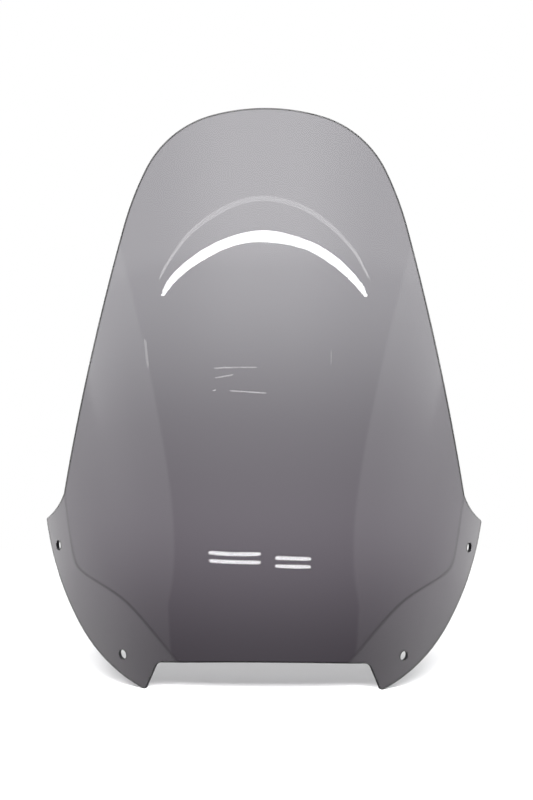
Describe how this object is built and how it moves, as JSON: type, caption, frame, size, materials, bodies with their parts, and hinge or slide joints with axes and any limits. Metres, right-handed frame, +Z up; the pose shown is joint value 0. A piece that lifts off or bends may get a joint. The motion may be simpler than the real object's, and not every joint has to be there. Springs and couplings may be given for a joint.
{
  "type": "motorcycle windshield screen",
  "caption": "Tall curved motorcycle windshield: one smoke-tinted acrylic sheet with rounded crown, two lower lobes with folded flanges and drilled screw holes.",
  "frame": {"origin": "on the middle plane, midway between the foremost and rearmost points, at the height of the tips of the two lower lobes", "axes": "+X to the rider's left, +Y back towards the rider, +Z up along the screen"},
  "size_m": [0.461, 0.1492, 0.597],
  "materials": {
    "smoke_acrylic": "polished"
  },
  "bodies": {
    "root": {"screen_panel": "smoke_acrylic"}
  },
  "joints": []
}
